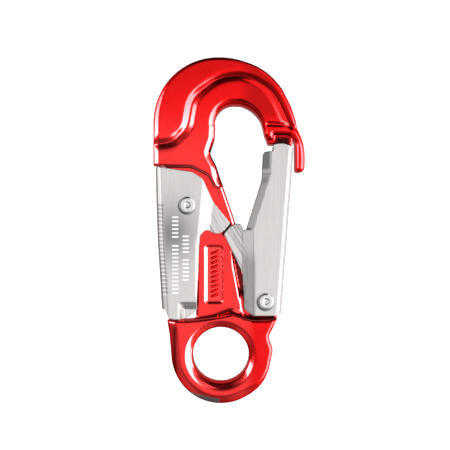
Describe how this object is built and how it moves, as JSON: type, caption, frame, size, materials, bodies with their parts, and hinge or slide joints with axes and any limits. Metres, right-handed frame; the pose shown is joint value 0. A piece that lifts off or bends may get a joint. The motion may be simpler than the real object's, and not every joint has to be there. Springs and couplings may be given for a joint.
{
  "type": "double-action snap hook",
  "caption": "Forged snap hook with a captive eye, a sprung sheet-steel gate and a squeeze lever that locks the gate shut.",
  "frame": {"origin": "centre of the eye bore, midway between the two faces", "axes": "+Z from the eye towards the hook, +X towards the gate, Y along the eye bore through the thickness"},
  "size_m": [0.0514, 0.0146, 0.1174],
  "materials": {
    "red_anodised": "glossy red anodised forging",
    "gate_steel": "satin stamped steel",
    "lever_steel": "satin stamped steel, ribbed along its spine",
    "rivet_steel": "bright headed rivet",
    "bush_steel": "turned steel",
    "spring_steel": "drawn spring wire"
  },
  "bodies": {
    "frame": {"body": "red_anodised", "gate_spring_front": "spring_steel", "gate_spring_rear": "spring_steel", "lever_spring_front": "spring_steel", "lever_spring_rear": "spring_steel"},
    "gate": {"gate": "gate_steel", "gate_rivet": "rivet_steel", "gate_bush": "bush_steel"},
    "lever": {"lock_lever": "lever_steel", "lever_rivet": "rivet_steel", "lever_bush": "bush_steel"}
  },
  "joints": [
    {"name": "gate_swing", "type": "hinge", "parent": "frame", "child": "gate", "pos_m": [0.0152, 0, 0.0184], "axis": [0, -1, 0], "range_deg": [0, 18], "stiffness_Nm_per_rad": 0.4, "springref_deg": -34.38, "deforming": ["gate_spring_front", "gate_spring_rear"]},
    {"name": "lever_squeeze", "type": "hinge", "parent": "frame", "child": "lever", "pos_m": [-0.0112, 0, 0.0507], "axis": [0, -1, 0], "range_deg": [0, 16.6], "stiffness_Nm_per_rad": 0.3, "springref_deg": -34.38, "deforming": ["lever_spring_front", "lever_spring_rear"]}
  ],
  "couplings": [
    {"joint": "lever_squeeze", "follows": "gate_swing", "ratio": 0.92}
  ]
}
